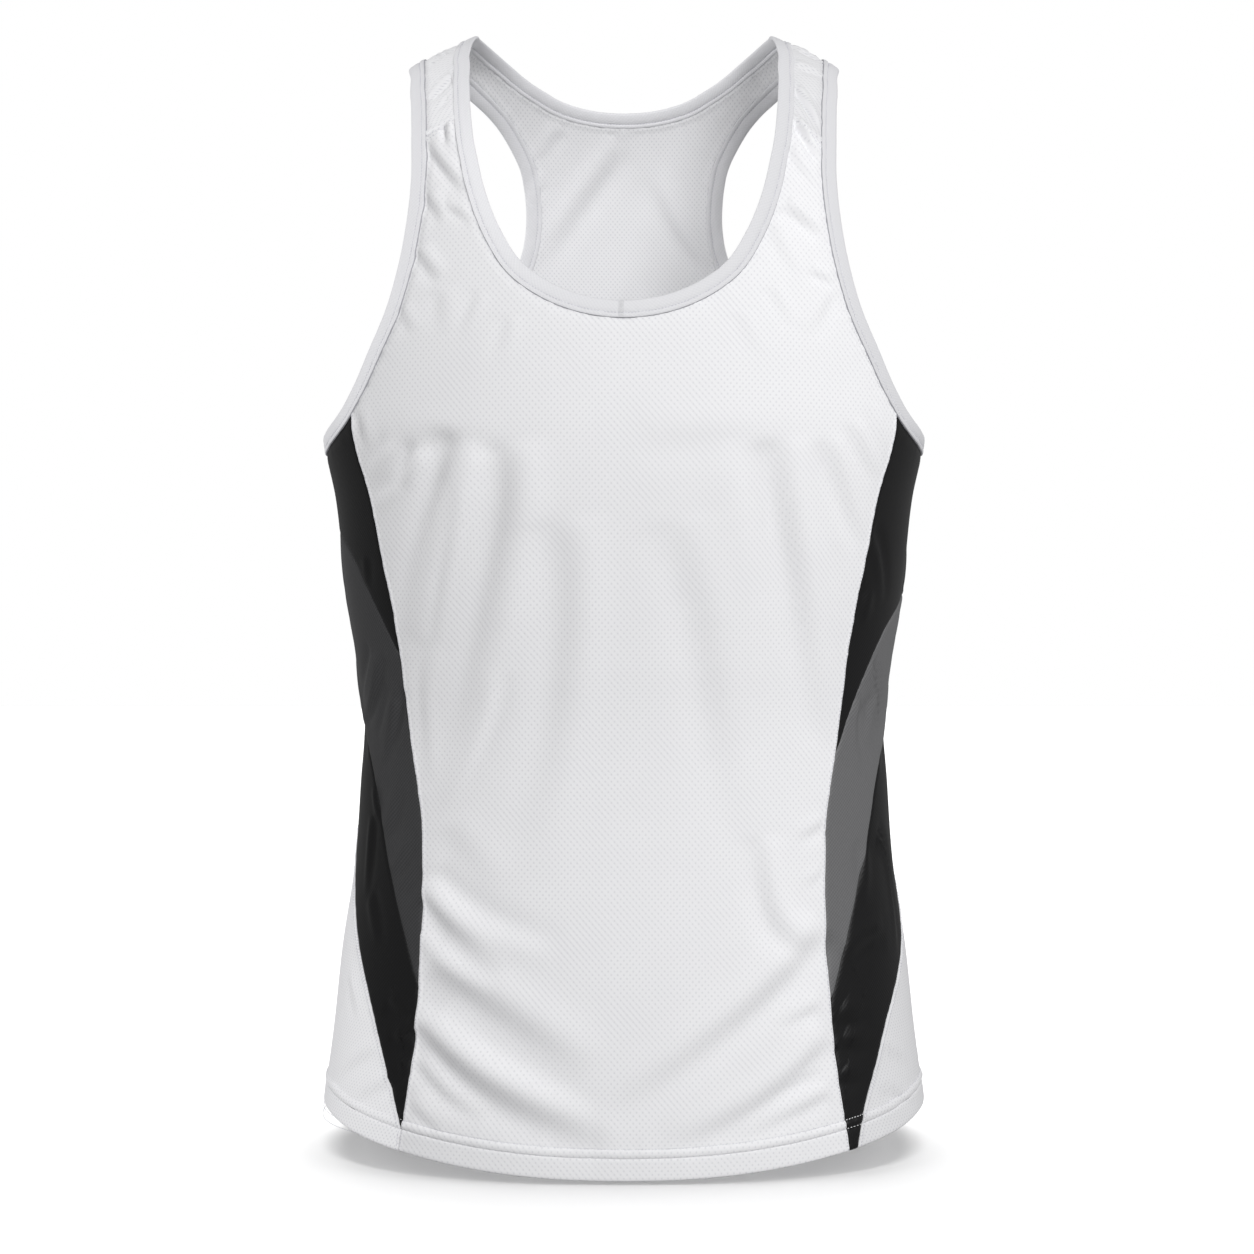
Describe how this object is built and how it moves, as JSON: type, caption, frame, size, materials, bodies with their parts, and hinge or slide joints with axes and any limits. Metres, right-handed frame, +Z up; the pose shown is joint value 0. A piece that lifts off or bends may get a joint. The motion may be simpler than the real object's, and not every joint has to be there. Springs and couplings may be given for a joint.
{
  "type": "running singlet",
  "caption": "Sleeveless racerback running singlet with bound neck and armholes, contrast side inserts and a turned hem, kept open and hollow in its worn shape.",
  "frame": {"origin": "between the two straps, level with the shoulder line that holds the singlet up", "axes": "+Z up, -Y the front of the singlet, +X to the right of a viewer who faces the front"},
  "size_m": [0.3822, 0.2447, 0.7012],
  "materials": {
    "white_mesh": "matt white eyelet mesh knit",
    "white_binding": "smooth white binding knit",
    "black_knit": "fine black knit with a soft sheen",
    "grey_knit": "fine mid-grey knit with a soft sheen"
  },
  "bodies": {
    "root": {"front_panel": "white_mesh", "back_panel": "white_mesh", "neck_binding": "white_binding", "armhole_binding_L": "white_binding", "armhole_binding_R": "white_binding", "side_black_upper_L": "black_knit", "side_black_upper_R": "black_knit", "side_grey_L": "grey_knit", "side_grey_R": "grey_knit", "side_black_lower_L": "black_knit", "side_black_lower_R": "black_knit"}
  },
  "joints": []
}
